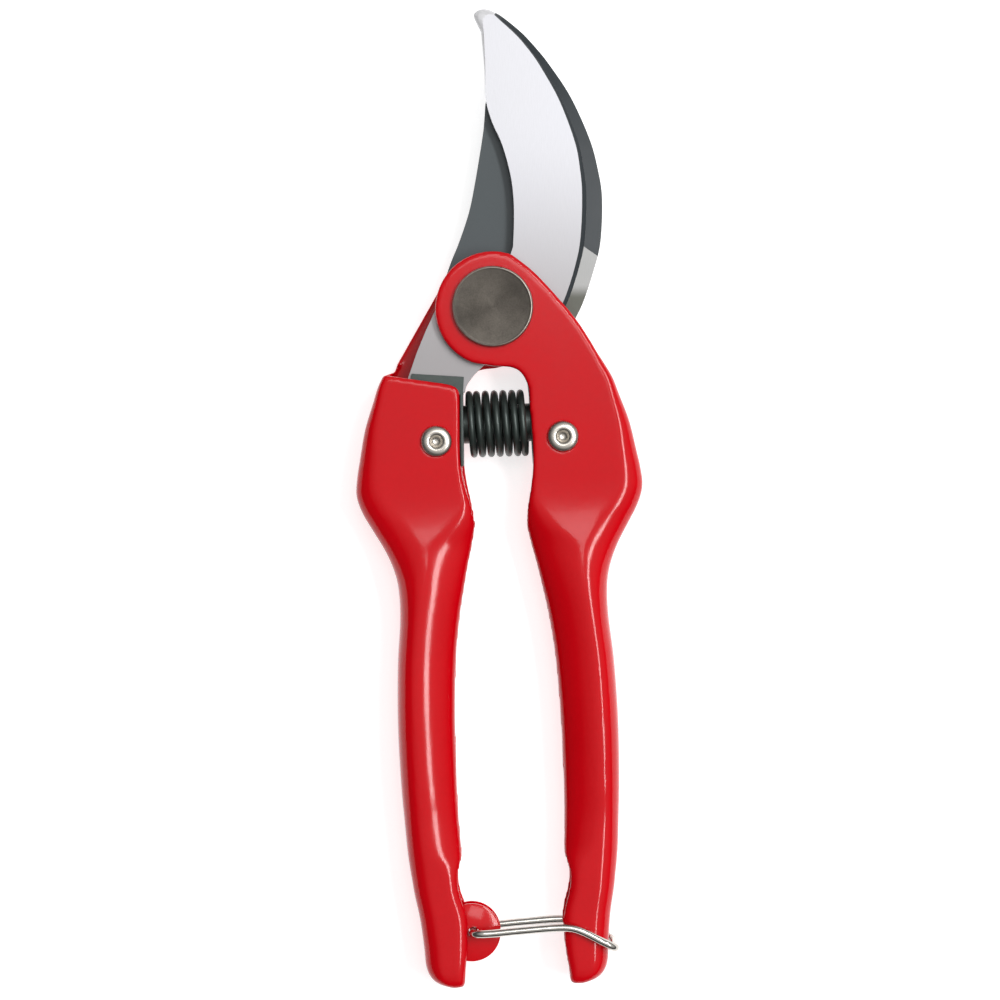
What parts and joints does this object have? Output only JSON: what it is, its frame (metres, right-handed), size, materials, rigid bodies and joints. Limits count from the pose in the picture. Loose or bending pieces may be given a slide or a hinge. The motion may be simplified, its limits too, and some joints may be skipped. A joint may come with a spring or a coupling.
{
  "type": "bypass pruner",
  "caption": "Hand pruner whose pressed handles cross at a pivot bolt, with hooked jaw, blade, coil spring and wire latch.",
  "frame": {"origin": "pivot axis at the flat outer end of the pivot bolt, in the plane the pruner rests on", "axes": "+Y towards the jaw tip, +Z out of the front of the pruner along the pivot axis, +X to the right handle's side"},
  "size_m": [0.0615, 0.2101, 0.0157],
  "materials": {
    "red_enamel": "gloss",
    "ground_steel": "ground, dark coated along the spine",
    "coated_steel": "satin dark non-stick coating",
    "turned_steel": "turned, blackened",
    "plated_steel": "bright nickel plate",
    "black_steel": "oiled black",
    "plain_steel": "dull",
    "washer_bronze": "satin"
  },
  "bodies": {
    "left_half": {"left_handle": "red_enamel", "counter_blade": "ground_steel", "left_packing_plate": "plain_steel", "left_spring_seat": "black_steel", "left_tang_rivet": "plated_steel", "latch_ear": "red_enamel", "pivot_bolt": "turned_steel", "pivot_nut": "turned_steel", "front_washer": "washer_bronze", "back_washer": "washer_bronze", "coil_spring": "black_steel"},
    "right_half": {"right_handle": "red_enamel", "cutting_blade": "coated_steel", "right_packing_plate": "plain_steel", "right_spring_seat": "black_steel", "right_tang_rivet": "plated_steel"},
    "latch": {"latch_wire": "plated_steel"}
  },
  "joints": [
    {"name": "handle_pivot", "type": "hinge", "parent": "left_half", "child": "right_half", "pos_m": [0, 0, 0.00785], "axis": [0, 0, 1], "range_deg": [0, 20], "deforming": ["coil_spring"]},
    {"name": "latch_swing", "type": "hinge", "parent": "left_half", "child": "latch", "pos_m": [-0.0041, -0.1339, 0.00785], "axis": [0, 0, 1], "range_deg": [-231, 0]}
  ],
  "couplings": [
    {"joint": "latch_swing", "follows": "handle_pivot", "ratio": -11.5}
  ]
}
